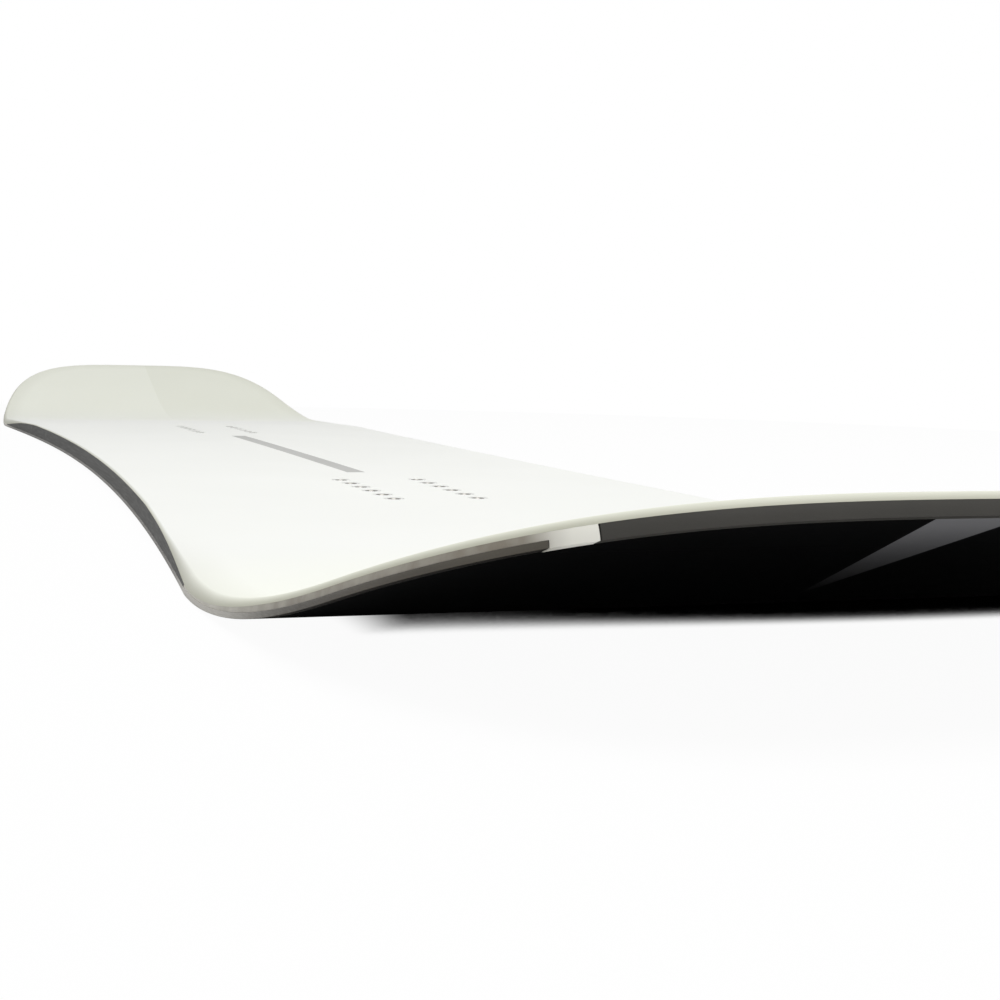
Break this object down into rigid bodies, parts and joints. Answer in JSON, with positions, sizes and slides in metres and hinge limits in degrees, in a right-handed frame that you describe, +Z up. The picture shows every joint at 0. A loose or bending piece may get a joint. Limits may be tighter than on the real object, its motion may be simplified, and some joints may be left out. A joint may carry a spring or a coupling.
{
  "type": "snowboard",
  "caption": "Blunt, rounded twin-tip snowboard with upturned ends, sidewalls, steel edges and a grid of threaded binding inserts at each foot.",
  "frame": {"origin": "on the ground, midway between the tips and midway between the long edges", "axes": "+X along the board to the nose, +Y to the left edge, +Z up out of the topsheet"},
  "size_m": [1.5326, 0.291, 0.0536],
  "materials": {
    "running_base": "sintered polyethylene, stone ground, black",
    "edge_steel": "ground and polished hardened steel",
    "damping_rubber": "smooth calendered rubber",
    "glass_laminate": "cured resin over glass fabric",
    "core_wood": "planed poplar and beech laths, unfinished",
    "insert_plate": "pressed fibre-reinforced sheet",
    "sidewall_plastic": "milled and sanded dark grey ABS",
    "spacer_plastic": "milled and sanded pale ABS",
    "guard_plastic": "cast dark grey polyurethane",
    "topsheet_plastic": "white, semi-gloss polyamide film",
    "insert_steel": "turned stainless steel"
  },
  "bodies": {
    "root": {"base": "running_base", "steel_edge_left": "edge_steel", "steel_edge_right": "edge_steel", "edge_damping_left": "damping_rubber", "edge_damping_right": "damping_rubber", "lower_laminate": "glass_laminate", "upper_laminate": "glass_laminate", "core_lath_middle": "core_wood", "front_insert_plate": "insert_plate", "rear_insert_plate": "insert_plate", "sidewall_left": "sidewall_plastic", "sidewall_right": "sidewall_plastic", "nose_tip_spacer": "spacer_plastic", "tail_tip_spacer": "spacer_plastic", "nose_tip_guard": "guard_plastic", "tail_tip_guard": "guard_plastic", "topsheet": "topsheet_plastic", "core_lath_left_1": "core_wood", "core_lath_left_2": "core_wood", "core_lath_left_3": "core_wood", "core_lath_left_4": "core_wood", "core_lath_right_1": "core_wood", "core_lath_right_2": "core_wood", "core_lath_right_3": "core_wood", "core_lath_right_4": "core_wood", "front_insert_left_1": "insert_steel", "front_insert_left_2": "insert_steel", "front_insert_left_3": "insert_steel", "front_insert_left_4": "insert_steel", "front_insert_left_5": "insert_steel", "front_insert_left_6": "insert_steel", "front_insert_right_1": "insert_steel", "front_insert_right_2": "insert_steel", "front_insert_right_3": "insert_steel", "front_insert_right_4": "insert_steel", "front_insert_right_5": "insert_steel", "front_insert_right_6": "insert_steel", "rear_insert_left_1": "insert_steel", "rear_insert_left_2": "insert_steel", "rear_insert_left_3": "insert_steel", "rear_insert_left_4": "insert_steel", "rear_insert_left_5": "insert_steel", "rear_insert_left_6": "insert_steel", "rear_insert_right_1": "insert_steel", "rear_insert_right_2": "insert_steel", "rear_insert_right_3": "insert_steel", "rear_insert_right_4": "insert_steel", "rear_insert_right_5": "insert_steel", "rear_insert_right_6": "insert_steel"}
  },
  "joints": []
}
